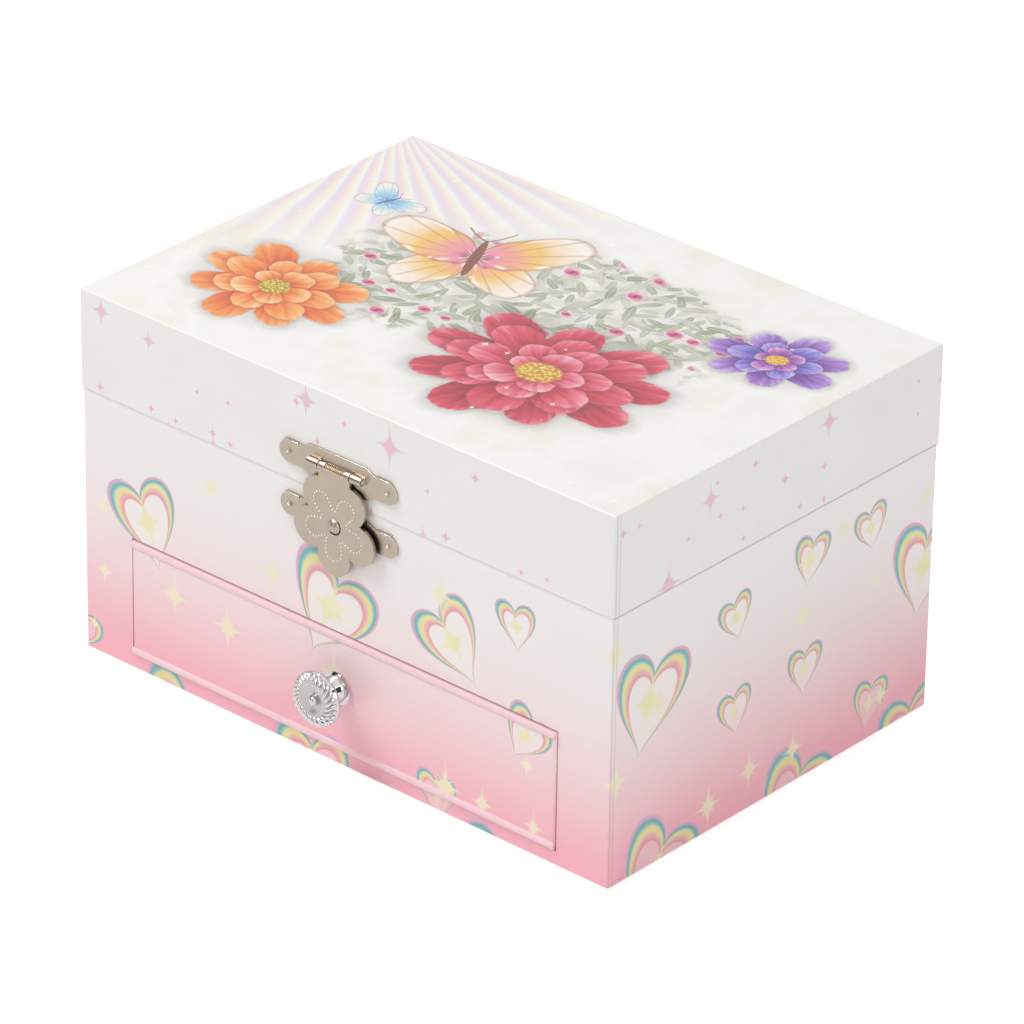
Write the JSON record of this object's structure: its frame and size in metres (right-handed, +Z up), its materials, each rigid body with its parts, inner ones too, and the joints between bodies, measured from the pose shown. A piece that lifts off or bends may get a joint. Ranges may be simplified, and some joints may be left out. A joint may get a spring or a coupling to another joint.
{
  "type": "ballerina jewellery box",
  "caption": "Wind-up ballerina jewellery box of papered board with a hinged lid, flower hasp, drawer with a turned knob, and a musical movement that spins a folding dancer.",
  "frame": {"origin": "middle of the case's underside, on the floor", "axes": "+X to the right along the front, -Y out of the front, +Z up"},
  "size_m": [0.1656, 0.1398, 0.0955],
  "materials": {
    "printed_board": "board covered in glossy printed paper",
    "plain_board": "board covered in plain matt paper",
    "piping": "rounded strip covered in satin paper",
    "lining": "soft flocked cloth on board",
    "mirror_glass": "polished silvered glass",
    "nickel": "satin plated stamped sheet",
    "hinge_steel": "satin plated sheet",
    "chrome": "bright plated, polished",
    "movement_steel": "machined, bare",
    "movement_brass": "turned, bare",
    "governor_plastic": "moulded",
    "dancer_plastic": "moulded and painted",
    "tutu_net": "stiffened net"
  },
  "bodies": {
    "case": {"case_front": "printed_board", "case_back": "printed_board", "case_left": "printed_board", "case_right": "printed_board", "case_bottom": "plain_board", "tray_shelf": "plain_board", "drawer_guides": "plain_board", "tray_lining": "lining", "stage_cover": "lining", "spindle_bush": "movement_brass", "movement_bedplate": "movement_steel", "movement_screws": "movement_steel", "comb_bracket": "movement_steel", "music_comb": "movement_steel", "comb_screws": "movement_steel", "cylinder_brackets": "movement_steel", "governor_housing": "governor_plastic", "key_escutcheon": "chrome", "hinge_case_leaves": "hinge_steel", "hinge_pins": "hinge_steel", "hinge_case_screws": "hinge_steel", "hasp_catch_plate": "nickel", "hasp_case_nails": "nickel"},
    "lid": {"lid_top": "printed_board", "lid_front": "printed_board", "lid_back": "printed_board", "lid_left": "printed_board", "lid_right": "printed_board", "mirror": "mirror_glass", "mirror_surround": "lining", "stop_pad": "lining", "hinge_lid_leaves": "hinge_steel", "hinge_lid_screws": "hinge_steel", "hasp_hinge_plate": "nickel", "hasp_pin": "nickel", "hasp_lid_nails": "nickel"},
    "hasp": {"hasp_flap": "nickel"},
    "drawer": {"drawer_front": "printed_board", "drawer_top_piping": "piping", "drawer_bottom_piping": "piping", "drawer_left": "plain_board", "drawer_right": "plain_board", "drawer_back": "plain_board", "drawer_floor": "plain_board", "drawer_lining": "lining", "drawer_knob": "chrome", "knob_screw": "chrome"},
    "drive": {"winding_key": "chrome", "winding_shaft": "movement_steel", "spring_barrel": "movement_brass"},
    "cylinder": {"music_cylinder": "movement_brass", "cylinder_arbor": "movement_steel"},
    "governor": {"governor_pinion": "governor_plastic"},
    "spindle": {"dancer_spindle": "movement_steel"},
    "fold": {"figure_spring": "movement_steel"},
    "dancer": {"dancer_figure": "dancer_plastic", "dancer_tutu": "tutu_net"},
    "plunger": {"stop_plunger": "movement_steel"}
  },
  "joints": [
    {"name": "lid_hinge", "type": "hinge", "parent": "case", "child": "lid", "pos_m": [0, 0.0594, 0.0697], "axis": [-1, 0, 0], "range_deg": [0, 95]},
    {"name": "hasp_hinge", "type": "hinge", "parent": "lid", "child": "hasp", "pos_m": [0, -0.0591, 0.0775], "axis": [-1, 0, 0], "range_deg": [0, 120]},
    {"name": "drawer_slide", "type": "slide", "parent": "case", "child": "drawer", "axis": [0, -1, 0], "range_m": [0, 0.075]},
    {"name": "drive_spin", "type": "hinge", "parent": "case", "child": "drive", "pos_m": [0, 0.05, 0.0485], "axis": [0, 1, 0], "continuous": true},
    {"name": "cylinder_spin", "type": "hinge", "parent": "case", "child": "cylinder", "pos_m": [0.02, 0.03665, 0.0485], "axis": [1, 0, 0], "continuous": true},
    {"name": "governor_spin", "type": "hinge", "parent": "case", "child": "governor", "pos_m": [-0.01, 0.03665, 0.0485], "axis": [1, 0, 0], "continuous": true},
    {"name": "spindle_spin", "type": "hinge", "parent": "case", "child": "spindle", "pos_m": [0, 0.03665, 0.06], "axis": [0, 0, 1], "continuous": true},
    {"name": "figure_fold", "type": "hinge", "parent": "case", "child": "fold", "pos_m": [0, 0.03665, 0.0726], "axis": [-1, 0, 0], "range_deg": [0, 90], "deforming": ["figure_spring"]},
    {"name": "dancer_spin", "type": "hinge", "parent": "fold", "child": "dancer", "pos_m": [0, 0.03665, 0.0726], "axis": [0, -1, 0], "continuous": true},
    {"name": "plunger_slide", "type": "slide", "parent": "case", "child": "plunger", "axis": [0, 0, 1], "range_m": [0, 0.0024]}
  ],
  "couplings": [
    {"joint": "cylinder_spin", "follows": "drive_spin", "ratio": -3},
    {"joint": "governor_spin", "follows": "drive_spin", "ratio": 3},
    {"joint": "spindle_spin", "follows": "drive_spin", "ratio": -3},
    {"joint": "dancer_spin", "follows": "drive_spin", "ratio": -3},
    {"joint": "figure_fold", "follows": "lid_hinge", "ratio": 0.94737},
    {"joint": "plunger_slide", "follows": "lid_hinge", "m_per_rad": 0.001447}
  ]
}
